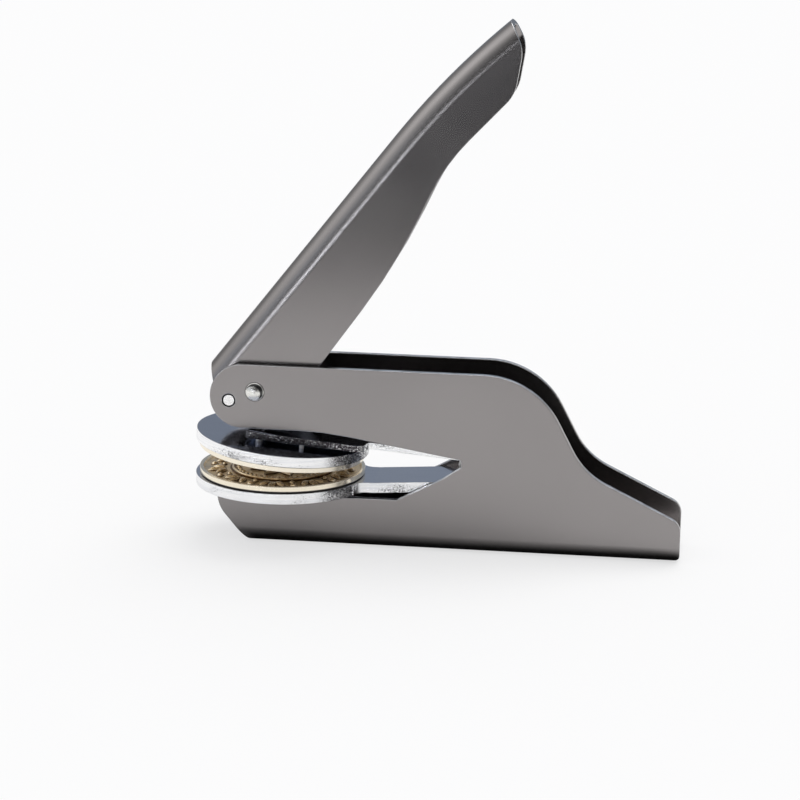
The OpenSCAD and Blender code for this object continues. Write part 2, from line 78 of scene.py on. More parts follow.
# %% Place the camera
YAW, TILT, ROLL = (math.radians(a) for a in (6.50, 14.15, 1.05))
AIM = np.array([-16.61, 0.0, 36.57]) * MM
DISTANCE = 649.03 * MM

back = np.array([math.sin(YAW) * math.cos(TILT), -math.cos(YAW) * math.cos(TILT), math.sin(TILT)])
side = np.cross(-back, [0, 0, 1])
side /= np.linalg.norm(side)
up = np.cross(back, side)
right = math.cos(ROLL) * side + math.sin(ROLL) * up
top = -math.sin(ROLL) * side + math.cos(ROLL) * up
eye = AIM + DISTANCE * back

camera_data = bpy.data.cameras.new("studio_camera")
camera_data.sensor_width = 36
camera_data.lens = 115.65
camera_data.clip_start = 0.01
camera = bpy.data.objects.new("studio_camera", camera_data)
camera.matrix_world = Matrix([[right[i], top[i], back[i], eye[i]] for i in range(3)] + [[0, 0, 0, 1]])
bpy.context.scene.collection.objects.link(camera)
bpy.context.scene.camera = camera
print("camera at", eye.round(4))

# %% [markdown]
# ## Small helpers for the finishes
#
# Every finish on this machine is a metal or a paint, so each one is a Principled shader whose colour,
# roughness and bump come from a few noise patterns. The helpers below keep the cells short: they make
# a new material, add a node, and turn patterns into numbers and colours. All patterns read Object
# coordinates, so they stay put when a piece moves.

# %% Helpers for shader nodes
def new_finish(name, **sockets):
    """A material with a Principled shader. Keyword arguments set its plain sockets."""
    material = bpy.data.materials.new(name)
    material.use_nodes = True
    shader = material.node_tree.nodes["Principled BSDF"]
    for key, value in sockets.items():
        shader.inputs[key.replace("_", " ")].default_value = value
    return material, material.node_tree, shader


def add_node(tree, kind, **settings):
    """A shader node. Names of its properties are set as such, other names are its sockets."""
    node = tree.nodes.new(kind)
    for key, value in settings.items():
        if hasattr(node, key):
            setattr(node, key, value)
        else:
            node.inputs[key.replace("_", " ")].default_value = value
    return node


def feed(tree, socket, value):
    """Gives a socket its value: a link from a node's output, a colour of three parts or a number."""
    if isinstance(value, bpy.types.NodeSocket):
        tree.links.new(value, socket)
    elif isinstance(value, tuple):
        socket.default_value = (*value, 1)
    else:
        socket.default_value = value


def worked(tree, operation, *values):
    """The result of one step of arithmetic on outputs and numbers."""
    node = add_node(tree, "ShaderNodeMath", operation=operation)
    for socket, value in zip(node.inputs, values):
        feed(tree, socket, value)
    return node.outputs[0]


def product(tree, first, *others):
    """The product of some outputs."""
    for other in others:
        first = worked(tree, "MULTIPLY", first, other)
    return first


# %% Helpers for patterns and places
def stretched(tree, scale):
    """Object coordinates, scaled by three factors per metre."""
    place = add_node(tree, "ShaderNodeTexCoord")
    mapping = add_node(tree, "ShaderNodeMapping", Scale=scale)
    tree.links.new(place.outputs["Object"], mapping.inputs["Vector"])
    return mapping.outputs["Vector"]


def noise(tree, scale, detail=4.0, roughness=0.55):
    """A noise pattern with three scales per metre, as one value from 0 to 1."""
    node = add_node(tree, "ShaderNodeTexNoise", Scale=1.0, Detail=detail, Roughness=roughness)
    tree.links.new(stretched(tree, scale), node.inputs["Vector"])
    return node.outputs["Fac"]


def ramp(tree, value, low, high, from_min=0.0, from_max=1.0):
    """A number that goes smoothly from low to high while value goes from from_min to from_max."""
    node = add_node(tree, "ShaderNodeMapRange", interpolation_type="SMOOTHSTEP")
    ends = ("From Min", from_min), ("From Max", from_max), ("To Min", low), ("To Max", high)
    for name, number in ends:
        node.inputs[name].default_value = number
    tree.links.new(value, node.inputs["Value"])
    return node.outputs["Result"]


def mixed(tree, share, low, high):
    """The colour low where share is 0 and high where it is 1. Each is an output or a plain colour."""
    node = add_node(tree, "ShaderNodeMix", data_type="RGBA")
    for name, value in (("Factor", share), ("A", low), ("B", high)):
        feed(tree, node.inputs[name], value)
    return node.outputs["Result"]


def rounded_normal(tree, radius):
    """The surface's normal, with the edges rounded to a radius in metres."""
    return add_node(tree, "ShaderNodeBevel", samples=4, Radius=radius).outputs["Normal"]


def bump(tree, shader, height, distance, strength=1.0, broken_edge=None):
    """Bump of a real depth, in metres. Edges are shaded round to the radius broken_edge."""
    node = add_node(tree, "ShaderNodeBump", Strength=strength, Distance=distance)
    if broken_edge is not None:
        tree.links.new(rounded_normal(tree, broken_edge), node.inputs["Normal"])
    tree.links.new(height, node.inputs["Height"])
    tree.links.new(node.outputs["Normal"], shader.inputs["Normal"])


def from_axis(tree, name, across=0.0, upward=0.0):
    """Distance from the axis of a pin across the machine, or from a line beside it, in metres.

    It is sqrt(x^2 + z^2) about the middle of the node's box, moved by across and upward.
    """
    low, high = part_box(name)
    place = add_node(tree, "ShaderNodeTexCoord")
    move = (-0.5 * (low.x + high.x) - across, 0, -0.5 * (low.z + high.z) - upward)
    mapping = add_node(tree, "ShaderNodeMapping", Location=move, Scale=(1, 0, 1))
    tree.links.new(place.outputs["Object"], mapping.inputs["Vector"])
    size = add_node(tree, "ShaderNodeVectorMath", operation="LENGTH")
    tree.links.new(mapping.outputs["Vector"], size.inputs[0])
    return size.outputs["Value"]


def place_on(tree, axis):
    """A point's place on one axis of the machine, in metres."""
    split = add_node(tree, "ShaderNodeSeparateXYZ")
    tree.links.new(stretched(tree, (1, 1, 1)), split.inputs[0])
    return split.outputs[axis]


def facing_along(tree, axis):
    """How far a face turns to an axis of the machine, -1 to 1."""
    split = add_node(tree, "ShaderNodeSeparateXYZ")
    tree.links.new(add_node(tree, "ShaderNodeNewGeometry").outputs["Normal"], split.inputs[0])
    return split.outputs[axis]


def dress(material, *names):
    """Gives CAD nodes a finish."""
    for name in names:
        slots = frame["nodes"][name].data.materials
        slots.clear()
        slots.append(material)
    print(material.name, "on", ", ".join(names))


# %% [markdown]
# ## Gunmetal enamel
#
# The channel and the lever wear a smooth grey enamel with metal flake in it. Seen from close by it is
# even, with a very fine grain and a few cloudy patches, and it mirrors the table softly. A metallic
# shader with a low roughness gives that look. Along its edges the paint is rubbed through. The pale
# steel there also stands in for the thin light line that the sharp edges catch, so it is partly wear
# and partly a painted highlight. Those places could be painted on by hand, but here the shader finds
# them by itself: there the normal that is rounded over the edge differs from the face's own.

# %% Gunmetal enamel for the channel and the lever
# The channel's floor keeps its paint: edges are bare and painted light only further than this from
# the middle.
BARE_AND_HIGHLIT_FROM = 7.6 * MM


def worn_and_highlit_arris(tree, radius):
    """1 on the sharp edges, where rounded normal . the face's own normal falls to 0.82, else 0. There
    the pale tone is worn steel and a painted highlight.
    """
    match = add_node(tree, "ShaderNodeVectorMath", operation="DOT_PRODUCT")
    tree.links.new(rounded_normal(tree, radius), match.inputs[0])
    tree.links.new(add_node(tree, "ShaderNodeNewGeometry").outputs["Normal"], match.inputs[1])
    return ramp(tree, match.outputs["Value"], 1.0, 0.0, 0.82, 0.97)


def bare_and_highlit_upper_edges(tree):
    """1 on the cut upper edges of the walls, which are the faces that look up away from the middle.
    There the pale tone is partly rubbed-off paint and partly a painted highlight line.
    A noise breaks it up, because the paint is rubbed off in patches."""
    looks_up = ramp(tree, facing_along(tree, "Z"), 0.0, 1.0, 0.55, 0.8)
    patches = ramp(tree, noise(tree, (420, 420, 420), detail=3.0), 0.45, 1.0, 0.35, 0.6)
    outside = ramp(tree, worked(tree, "ABSOLUTE", place_on(tree, "Y")), 0.0, 1.0,
                   BARE_AND_HIGHLIT_FROM - 0.1 * MM, BARE_AND_HIGHLIT_FROM + 0.1 * MM)
    return product(tree, looks_up, patches, outside)


def gunmetal_enamel(name, arris, broken_edge, bare_and_highlit_edges):
    """Grey metallic enamel: fine flake in the colour and a slight orange-peel bump.

    The sharp edges are rubbed through to the steel over the radius arris, in a pale tone that is
    partly wear and partly a painted highlight. They are shaded round to the radius broken_edge, both
    in metres.
    bare_and_highlit_edges says if the upper edges of the walls are bare and painted light too.
    """
    material, tree, shader = new_finish(name, Metallic=1.0)
    flake = noise(tree, (9000, 9000, 9000), detail=1.0)
    cloud = noise(tree, (35, 35, 35), detail=1.0)
    peel = noise(tree, (900, 900, 900), detail=0.0)
    tone = mixed(tree, flake, (0.270, 0.255, 0.252), (0.350, 0.331, 0.327))
    # Pale steel on the upper edges and arrises: partly worn paint, partly a painted highlight line.
    if bare_and_highlit_edges:
        tone = mixed(tree, bare_and_highlit_upper_edges(tree), tone, (0.92, 0.92, 0.93))
    tone = mixed(tree, worn_and_highlit_arris(tree, arris), tone, (0.84, 0.84, 0.85))
    tree.links.new(tone, shader.inputs["Base Color"])
    tree.links.new(ramp(tree, cloud, 0.19, 0.25, 0.1, 0.9), shader.inputs["Roughness"])
    bump(tree, shader, peel, 0.00001, 0.06, broken_edge)
    return material


dress(gunmetal_enamel("gunmetal_enamel", 0.36 * MM, 0.36 * MM, True), "frame_shell")

# %% [markdown]
# ## The lever's skin
#
# The lever is one folded sheet: a straight length that goes over into a slightly crowned one. The CAD
# model draws the two lengths one after the other, and a line stays where they meet. A clean skin is
# made from it: the loose triangles are merged, the faces that lie in the joint are dropped, and the
# normals round the folds are worked out anew, so that the long light on the bend runs straight. It
# could also be lofted anew, but this way every outline stays exactly the CAD's.

# %% One skin out of a CAD node
SAME_POINT, IN_PLANE = 0.002 * MM, 0.02 * MM


def new_piece(name, mesh):
    """An object with this mesh, in the scene."""
    piece = bpy.data.objects.new(name, mesh)
    bpy.context.scene.collection.objects.link(piece)
    return piece


def sheet_in_one(name, node, place=None, along=None):
    """A CAD node as one closed skin. Where a joint's plane is given, it drops each face that lies in
    it, which is where (p - place) . along = 0 for all its corners, with p in metres."""
    work = bmesh.new()
    work.from_mesh(frame["nodes"][node].data)
    bmesh.ops.remove_doubles(work, verts=work.verts, dist=SAME_POINT)
    joint = [face for face in work.faces if place is not None
             and all(abs((corner.co - place).dot(along)) < IN_PLANE for corner in face.verts)]
    bmesh.ops.delete(work, geom=joint, context="FACES")
    work.verts.index_update()
    skin = bpy.data.meshes.new(name)
    skin.from_pydata([corner.co[:] for corner in work.verts], [],
                     [[corner.index for corner in face.verts] for face in work.faces])
    print(name, "joint faces dropped:", len(joint),
          "open edges:", sum(edge.is_boundary for edge in work.edges))
    work.free()
    skin.shade_smooth()
    skin.set_sharp_from_angle(angle=math.radians(30))
    return new_piece(name, skin)


# %% The lever's skin without its inner joint
JOINTS = {joint["name"]: joint for joint in frame["joints"]}
PIVOT = Vector(JOINTS["lever_hinge"]["pos_m"]) / MM
LEVER_TURN = math.radians(52.2)
LEVER_LINE = Vector((math.cos(LEVER_TURN), 0, math.sin(LEVER_TURN)))
# In mm: the pivot's place from the lever's foot and under its back, the straight length, and the
# radius of the crowned one.
PIVOT_ALONG, PIVOT_UNDER, STRAIGHT, CROWN = 3.0, 13.1, 74.0, 200.0
joint_place = (PIVOT + (STRAIGHT - PIVOT_ALONG) * LEVER_LINE) * MM
lever_skin = sheet_in_one("lever_skin", "lever_shell", joint_place, LEVER_LINE)

# %% [markdown]
# The triangles of a CAD mesh are long and thin, and normals that are averaged from them make the
# light on the bend waver. A weighted average gets nearer, but the bend has a plain formula, so each
# corner on it simply gets the normal that the real surface has there.

# %% True normals round the lever's bend
# In mm: half the flat of the web, the outer and inner radius of the bend, and how near to the bend a
# point has to be. A face belongs to the bend if its normal . the true one is over SAME_SIDE.
HALF_WEB, BENDS, ON_BEND, SLACK, SAME_SIDE = 1.9, (5.2, 3.7), 0.03, 0.02, 0.85


def bend_normals(points):
    """The true normal at each point of the lever, in mm, and where the point is from the bend's axis.

    A point's place is u along the lever and v up from its back. Past u = straight the lever bows
    about (straight, -crown), by ang = atan2(u - straight, v + crown), and the point's depth under
    the back is crown - hypot(u - straight, v + crown). The bend's axis lies one outer radius deep
    and half the web beside the middle. At an angle phi round it, the normal is cos(phi) upward +
    sin(phi) sideways.
    """
    upward = np.array([-LEVER_LINE.z, 0, LEVER_LINE.x])
    line = np.array([LEVER_LINE.x, 0, LEVER_LINE.z])
    from_pivot = points - np.array(PIVOT)
    u, v, y = from_pivot @ line + PIVOT_ALONG, from_pivot @ upward - PIVOT_UNDER, points[:, 1]
    bowed = u > STRAIGHT
    ang = np.where(bowed, np.arctan2(u - STRAIGHT, v + CROWN), 0)
    depth = np.where(bowed, CROWN - np.hypot(u - STRAIGHT, v + CROWN), -v)
    beside, above = np.abs(y) - HALF_WEB, BENDS[0] - depth
    phi = np.arctan2(beside, above)
    up_here = np.cos(ang)[:, None] * upward + np.sin(ang)[:, None] * line
    sideways = (np.sin(phi) * np.sign(y))[:, None] * np.array([0, 1, 0])
    return np.cos(phi)[:, None] * up_here + sideways, beside, above


def read_vectors(items, key):
    """One vector of each item of a mesh, as rows."""
    values = np.empty(len(items) * 3)
    items.foreach_get(key, values)
    return values.reshape(-1, 3)


def true_bend(skin):
    """Gives the corners of the faces on the bend, outside and inside, their true normals."""
    exact, beside, above = bend_normals(read_vectors(skin.vertices, "co") / MM)
    corner = np.empty(len(skin.loops), int)
    skin.loops.foreach_get("vertex_index", corner)
    normals = read_vectors(skin.corner_normals, "vector")
    facing = np.repeat(read_vectors(skin.polygons, "normal"), 3, axis=0)
    for radius, sign in zip(BENDS, (1, -1)):
        reaches = np.abs(np.hypot(beside, above) - radius) < ON_BEND
        on_bend = (beside > -SLACK) & (above > -SLACK) & reaches
        here = on_bend[corner] & ((sign * exact[corner] * facing).sum(1) > SAME_SIDE)
        normals[here] = sign * exact[corner][here]
        print("bend of radius", radius, "mm: corners set:", int(here.sum()))
    skin.normals_split_custom_set(normals.tolist())


true_bend(lever_skin.data)
lever_skin.data.materials.append(gunmetal_enamel("gunmetal_enamel_lever", 0.25 * MM, 0.3 * MM, False))
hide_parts("lever_shell")
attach(lever_skin, "lever")

# %% [markdown]
# ## Steels
#
# The arms and discs are stamped from bright steel strip, which keeps faint rolling lines and, on its
# cut edges, a speckle of small pits. Part of the cut edge is painted nearly black, a painted
# reflection of the dark faces in front of it. The two kinds of face could get a material each, but
# one material that looks at how far a face turns from level also works after the CAD changes.

# %% Stamped steel for the arms and discs
def painted_dark_reflection(tree, dark_span, dark):
    """1 in the black grains of painted dark reflection between two places along the machine, in
    metres, and 0 elsewhere.
    """
    start, end = dark_span
    x = place_on(tree, "X")
    within = product(tree, ramp(tree, x, 0.0, 1.0, start - 2 * MM, start + 2 * MM),
                     ramp(tree, x, 1.0, 0.0, end - 1 * MM, end + 1 * MM))
    grains = noise(tree, (1900, 1900, 6500), detail=2.0, roughness=0.8)
    return product(tree, within, ramp(tree, grains, 1.0, 0.0, 0.30 + 0.3 * dark, 0.36 + 0.3 * dark))


def stamped_steel(name, tone, dark_span, dark):
    """Bright strip: flat faces are smooth with faint rolling lines, cut edges streaked and pitted.

    Which of the two a point is, is read from how far its face turns away from level. Between the two
    places of dark_span along the machine, in metres, the cut edge is painted black with bright specks
    in it, as a painted dark reflection. The share of black is set by dark, from 0 to 1.
    """
    material, tree, shader = new_finish(name, Metallic=1.0)
    cut = ramp(tree, worked(tree, "ABSOLUTE", facing_along(tree, "Z")), 1.0, 0.0, 0.4, 0.8)
    lines = noise(tree, (100, 1800, 600), detail=3.0)
    streaks = noise(tree, (60, 60, 3200), detail=3.0, roughness=0.6)
    patches = noise(tree, (95, 95, 260), detail=1.0)
    pits = noise(tree, (4200, 4200, 4200), detail=1.0, roughness=0.7)
    pitted = worked(tree, "MULTIPLY_ADD", patches, 1.1, pits)
    speck = product(tree, ramp(tree, pitted, 0.0, 1.0, 1.28, 1.36), cut)
    flat_tone = mixed(tree, lines, tuple(0.80 * c for c in tone), tuple(0.98 * c for c in tone))
    drawn = ramp(tree, streaks, 0.0, 1.0, 0.3, 0.62)
    edge_tone = mixed(tree, drawn, (0.84, 0.85, 0.88), (1.0, 1.0, 1.0))
    # Painted dark reflection on part of the cut edge.
    edge_tone = mixed(tree, painted_dark_reflection(tree, dark_span, dark), edge_tone, (0.035, 0.03, 0.035))
    steel = mixed(tree, cut, flat_tone, edge_tone)
    tree.links.new(mixed(tree, speck, steel, (0.16, 0.16, 0.17)), shader.inputs["Base Color"])
    gloss = worked(tree, "MULTIPLY_ADD", cut, 0.14, ramp(tree, lines, 0.07, 0.13, 0.2, 0.8))
    tree.links.new(gloss, shader.inputs["Roughness"])
    bump(tree, shader, speck, -0.00004, 0.6, broken_edge=0.15 * MM)
    return material


STRIP = (0.68, 0.71, 0.80)
dress(stamped_steel("stamped_steel_lower", STRIP, (-0.0335, -0.0262), 0.62), "lower_arm")
# The disc is the same strip as the arms, in a darker tone: painted shade.
dress(stamped_steel("stamped_steel_disc_painted_shade", (0.56, 0.59, 0.68), (-0.0320, 0.0), 0.68), "upper_disc")
dress(stamped_steel("stamped_steel_pad", STRIP, (-0.1, -0.0245), 0.88), "upper_arm")

# %% [markdown]
# The pins are polished, the screws and the hidden rivets are zinc plated, and the anvil and the cam
# are blackened. They differ only in tone, gloss and grain, so one function makes them all. Round the
# two pins that show, a fine black is painted in. On the domed head it is a painted dark reflection in
# a crescent and a painted contact shadow round its rim. On the stop pin it is painted shade in the
# gap of its hole. Its place is a distance from their axes.

# %% Polished, zinc plated and blackened steels
def plain_steel(name, tone, gloss, grain, depth, painted_dark=None):
    """A steel of one tone: roughness between the two gloss values, by a noise of the given grain.

    painted_dark is a function that gives, from the material's tree, where painted shade and painted
    dark reflection make the steel black.
    """
    material, tree, shader = new_finish(name, Metallic=1.0)
    cloud = noise(tree, (grain, grain, grain), detail=4.0)
    colour = mixed(tree, cloud, tuple(0.85 * c for c in tone), tone)
    if painted_dark is not None:
        # Near black where painted_dark says: painted shade and painted dark reflection.
        colour = mixed(tree, painted_dark(tree), colour, (0.012, 0.012, 0.014))
    tree.links.new(colour, shader.inputs["Base Color"])
    tree.links.new(ramp(tree, cloud, gloss[0], gloss[1], 0.3, 0.7), shader.inputs["Roughness"])
    bump(tree, shader, cloud, depth, 0.4)
    return material


def pin_painted_gap_shade(tree):
    """1 outside the bright end of the stop pin, 1.35 mm from its axis, and 0 on it. There the pin's
    side is painted black as the shade in the gap of its hole.
    """
    return ramp(tree, from_axis(tree, "stop_pin"), 0.0, 1.0, 1.32 * MM, 1.39 * MM)


def head_painted_reflection_and_shadow(tree):
    """1 where the domed head is painted dark: a painted dark reflection in the crescent between a
    circle of 2.1 mm about the axis and one of 1.9 mm beside it, and a painted contact shadow in the
    narrow ring round the head."""
    centred = from_axis(tree, "pivot_rivet")
    off_centre = from_axis(tree, "pivot_rivet", -0.42 * MM, -0.38 * MM)
    dark_reflection_arc = product(tree, ramp(tree, off_centre, 0.0, 1.0, 1.78 * MM, 1.98 * MM),
                       ramp(tree, centred, 0.92, 0.0, 2.08 * MM, 2.2 * MM))
    contact_shadow_ring = ramp(tree, centred, 0.0, 1.0, 2.24 * MM, 2.36 * MM)
    return worked(tree, "MAXIMUM", dark_reflection_arc, contact_shadow_ring)


# %% The pins, screws and hidden blocks
dress(plain_steel("polished_steel", (0.66, 0.65, 0.64), (0.34, 0.42), 900, 0.00001),
      "spacer_posts", "cam_rivets", "rocker_pin")
# The domed rivet heads carry a painted dark reflection and a painted contact shadow.
dress(plain_steel("rivet_steel", (0.93, 0.92, 0.88), (0.24, 0.34), 1100, 0.00002, head_painted_reflection_and_shadow),
      "pivot_rivet")
# The stop pin's side is painted black as the shade in the gap of its hole.
dress(plain_steel("turned_steel", (0.99, 0.98, 0.97), (0.20, 0.30), 1500, 0.00001, pin_painted_gap_shade),
      "stop_pin")
dress(plain_steel("zinc_steel", (0.70, 0.71, 0.72), (0.28, 0.42), 1600, 0.00002),
      "pivot_washers", "anvil_screws", "locating_pegs", "lower_clip_rivet", "upper_clip_rivet")
dress(plain_steel("dark_steel", (0.12, 0.12, 0.125), (0.38, 0.55), 1200, 0.00004),
      "anvil_block", "press_cam", "hinge_block")
dress(plain_steel("bearing_bronze", (0.62, 0.44, 0.22), (0.35, 0.5), 2500, 0.00004), "pivot_bush")

# %% [markdown]
# ## The hairpin clip
#
# At the back a strip of blue spring steel, bent like a hairpin, joins the two arms and opens the dies
# again after each stroke. Its lower leg is riveted under the fixed arm and its upper leg on the
# moving arm, so the bend has to flex. As a rigid piece it would cut into the moving arm. Here a copy
# of the CAD's clip is merged into one skin of blue spring steel. It takes the place of the CAD's clip
# as one rigid piece.

# %% The hairpin clip as one skin
clip = sheet_in_one("hairpin_clip", "clip_spring")
blue_steel = plain_steel("spring_steel", (0.30, 0.33, 0.38), (0.22, 0.34), 700, 0.00002)
clip.data.materials.append(blue_steel)
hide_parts("clip_spring")
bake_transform(clip)

# %% [markdown]
# ## Dark pads
#
# Each die is glued to its disc with a thin dark pad, which shows as a fine black line. It is a matt
# rubbery film. A plain black would look like a gap, so a slight grain breaks it.

# %% Dark adhesive pads
def adhesive_film(name):
    """Matt dark film with a fine grain."""
    material, tree, shader = new_finish(name, Metallic=0.0)
    grain = noise(tree, (2400, 2400, 2400), detail=3.0)
    tree.links.new(mixed(tree, grain, (0.012, 0.010, 0.008), (0.035, 0.030, 0.024)),
                   shader.inputs["Base Color"])
    tree.links.new(ramp(tree, grain, 0.6, 0.8, 0.3, 0.7), shader.inputs["Roughness"])
    bump(tree, shader, grain, 0.00002, 0.5)
    return material


dress(adhesive_film("die_adhesive"), "lower_die_pad", "upper_die_pad")

# %% [markdown]
# ## The relief dies
#
# A seal die is a brass disc whose face is engraved: a flat rim, a band of small raised figures, a
# beaded ring and a figure in the middle. Its counterpart has the same picture sunk instead of raised.
# The relief is real geometry, because it is what the machine is for. It could be sculpted, but all of
# its figures repeat round the middle. So the face is a height map over polar coordinates, and the
# design is the highest of a few smooth bumps in radius and angle.

# %% Bumps and steps for the engraved face
disc_low, disc_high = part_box("lower_die")
centre_x = 0.5 * (disc_low.x + disc_high.x)
die_radius = 0.5 * (disc_high.x - disc_low.x)
die_thickness = disc_high.z - disc_low.z
print("die radius %.2f mm, thickness %.2f mm" % (die_radius / MM, die_thickness / MM))


def step_up(x, edge, soft):
    """Smooth step from 0 to 1 where x passes edge, over a width of soft."""
    t = np.clip((x - edge) / soft + 0.5, 0, 1)
    return t * t * (3 - 2 * t)


def band(x, low, high, soft):
    """1 between low and high, with soft shoulders."""
    return step_up(x, low, soft) * (1 - step_up(x, high, soft))


def pebble(u, v, long, wide):
    """A domed bump, sqrt(1 - (u/long)^2 - (v/wide)^2), zero outside its oval."""
    return np.sqrt(np.clip(1 - (u / long) ** 2 - (v / wide) ** 2, 0, 1))


# %% The engraved picture
# Radii in mm: the sprigs' foot, the ring's edges, the beads' centres, the petals' tips and the boss.
SPRIGS, BEADS, PETALS = 10, 44, 8
SPRIG_AT, RING_EDGES, BEADS_AT, PETAL_TIP, BOSS = 16.5, (12.4, 12.95), 11.1, 8.4, 2.4


def in_sector(a, count, shift=0.0):
    """Turn from the middle of the nearest of count equal sectors: -0.5 to 0.5 of a sector."""
    return (a * count / (2 * np.pi) + shift) % 1 - 0.5


def engraved_relief(r, a):
    """Height of the raised design at radius r (mm) and angle a, from 0 (field) to 1 (tops).

    Ten three-leaved sprigs with a berry between them fill the outer band. A plain ring and a
    string of beads lie inside, and an eight-pointed rosette is in the middle. Each figure is drawn
    once, in the coordinates u outward and v sideways of its own sector, and the highest one counts.
    """
    sector = in_sector(a, SPRIGS) * 2 * np.pi / SPRIGS
    u, v = r * np.cos(sector) - SPRIG_AT, r * np.sin(sector)
    middle = pebble(u - 0.4, v, 2.5, 1.0) * (1 - 0.3 * np.exp(-(v / 0.16) ** 2))
    side = np.abs(v) - 1.85
    tilted_u, tilted_v = 0.80 * (u + 0.5) + 0.60 * side, 0.80 * side - 0.60 * (u + 0.5)
    leaves = pebble(tilted_u, tilted_v, 1.9, 0.85)
    between = in_sector(a, SPRIGS, 0.5) * 2 * np.pi / SPRIGS
    bu, bv = r * np.cos(between), r * np.sin(between)
    berries = np.maximum(pebble(bu - 17.6, bv, 0.9, 0.9), pebble(bu - 15.0, bv, 0.6, 0.6))
    ring = band(r, *RING_EDGES, 0.2)
    beads = pebble(r - BEADS_AT, in_sector(a, BEADS) * 2 * np.pi * BEADS_AT / BEADS, 0.6, 0.6)
    petal_turn = in_sector(a, PETALS) * 2
    petal_edge = PETAL_TIP - 3.6 * np.abs(petal_turn) ** 0.8
    petal = step_up(petal_edge - r, 0.0, 0.5) * (0.62 + 0.38 * np.cos(petal_turn * np.pi / 2))
    boss = pebble(r, 0, BOSS, 1)
    return np.maximum.reduce([middle, leaves, berries, ring, beads, petal * (r > BOSS + 0.3), boss])


def nearby_mean(height):
    """Mean height over a few grid steps, by rolling the grid round and along the radius."""
    rolled = sum(np.roll(height, k, axis=1) for k in range(-4, 5)) / 9
    rows = [np.vstack([rolled[:1]] * max(k, 0) + [rolled[max(-k, 0):len(rolled) - max(k, 0)]]
                      + [rolled[-1:]] * max(-k, 0)) for k in range(-3, 4)]
    return sum(rows) / 7


# %% [markdown]
# The solid itself is a round disc with a sunk field. Its grid runs over the radius and the angle:
# the first rows go from the middle of the face to the rim, with close rows where the relief is, then
# down the side and back to the middle of the underside. Both ends close on a single point. A flat
# disc with a bump map would be quicker, but its relief would be missing from the mesh.

# %% The profile of a die
# In mm: the rim's width and softness, how deep the field and the sunk picture's ground lie under the
# rim, and the height of the relief.
RIM, RIM_SOFT, FIELD_DEPTH, SUNK_GROUND, RELIEF = 1.0, 0.35, 0.75, 0.06, 0.72
FACE_ROWS, RIM_ROWS, COLUMNS = 124, 10, 700


def die_grid(sunk):
    """Rows and columns of radius, angle and height in mm, and three tones that go with them.

    Face: z = thickness - field depth + relief (or ground - relief where it is sunk), within the rim,
    and z = thickness on it. The last rows go down the side and back along the plain underside.
    """
    radius, thick = die_radius / MM, die_thickness / MM
    angles = np.linspace(0, 2 * np.pi, COLUMNS, endpoint=False)
    radii = np.concatenate([np.linspace(0, radius - RIM - 0.25, FACE_ROWS),
                            np.linspace(radius - RIM - 0.2, radius - 0.12, RIM_ROWS)])
    r, a = np.meshgrid(radii, angles, indexing="ij")
    relief = engraved_relief(r, a) * RELIEF
    picture = thick - SUNK_GROUND - relief if sunk else thick - FIELD_DEPTH + relief
    on_rim = step_up(r, radius - RIM, RIM_SOFT)
    z = picture * (1 - on_rim) + thick * on_rim
    raised = relief / RELIEF * (1 - on_rim) + on_rim
    # Painted shade: how far a point lies below the mean height round it, darkest at the foot of each
    # figure.
    relief_shade = np.clip(nearby_mean(relief) - relief, 0, 1) / RELIEF * 3
    side = np.array([(radius - 0.03, thick - 0.04), (radius, thick - 0.1), (radius, thick - 0.16),
                     (radius, 0.14), (radius, 0.08), (radius - 0.08, 0.0), (radius * 0.6, 0.0),
                     (0.0, 0.0)])
    plain = np.ones((len(side), COLUMNS))
    r, z = np.vstack([r, side[:, :1] * plain]), np.vstack([z, side[:, 1:] * plain])
    tones = {"raised": np.vstack([raised, plain]), "relief_shade": np.vstack([relief_shade, 0 * plain]),
             "lip": np.vstack([on_rim, plain])}
    return r, np.broadcast_to(angles, r.shape), z, tones


# %% Close the profile into a solid
def grid_quads(rows, columns, closed=False):
    """Corners of the faces of a grid whose points are numbered row by row: (i, j), (i + 1, j),
    (i + 1, j + 1) and (i, j + 1). A closed grid joins its last column to its first."""
    last = columns if closed else columns - 1
    i, j = np.meshgrid(np.arange(rows - 1), np.arange(last), indexing="ij")
    k = (j + 1) % columns
    faces = [i * columns + j, (i + 1) * columns + j, (i + 1) * columns + k, i * columns + k]
    return np.stack(faces, -1).reshape(-1, 4)


def die_mesh(name, sunk, base, face_up):
    """A round die: x = centre + r cos a, y = r sin a, and z goes up or down from base, its flat side.

    The first and the last row are each a single point, in the middle of the face and of the back.
    """
    r, a, z, tones = die_grid(sunk)
    x, y, height = r * np.cos(a) * MM + centre_x, r * np.sin(a) * MM, z * MM
    points = np.stack([x, y, base + height if face_up else base - height], -1)[1:-1]
    rows, n = points.shape[:2]
    first = np.array([[centre_x, 0, base + (1 if face_up else -1) * height[0, 0]]])
    last = np.array([[centre_x, 0, base]])
    vertices = np.concatenate([points.reshape(-1, 3), first, last])
    quads = grid_quads(rows, n, closed=True)
    j = np.arange(n)
    k = (j + 1) % n
    start = np.stack([np.full(n, rows * n), j, k], -1)
    end = np.stack([np.full(n, rows * n + 1), (rows - 1) * n + k, (rows - 1) * n + j], -1)
    if not face_up:
        quads, start, end = quads[:, ::-1], start[:, ::-1], end[:, ::-1]
    mesh = bpy.data.meshes.new(name)
    mesh.from_pydata(vertices.tolist(), [], quads.tolist() + start.tolist() + end.tolist())
    mesh.shade_smooth()
    mesh.update()
    for tone, grid in tones.items():
        value = np.concatenate([grid[1:-1].ravel(), grid[0, :1], grid[-1, :1]]).astype(np.float32)
        mesh.attributes.new(tone, "FLOAT", "POINT").data.foreach_set("value", value)
    print(name, "faces:", len(mesh.polygons))
    return new_piece(name, mesh)
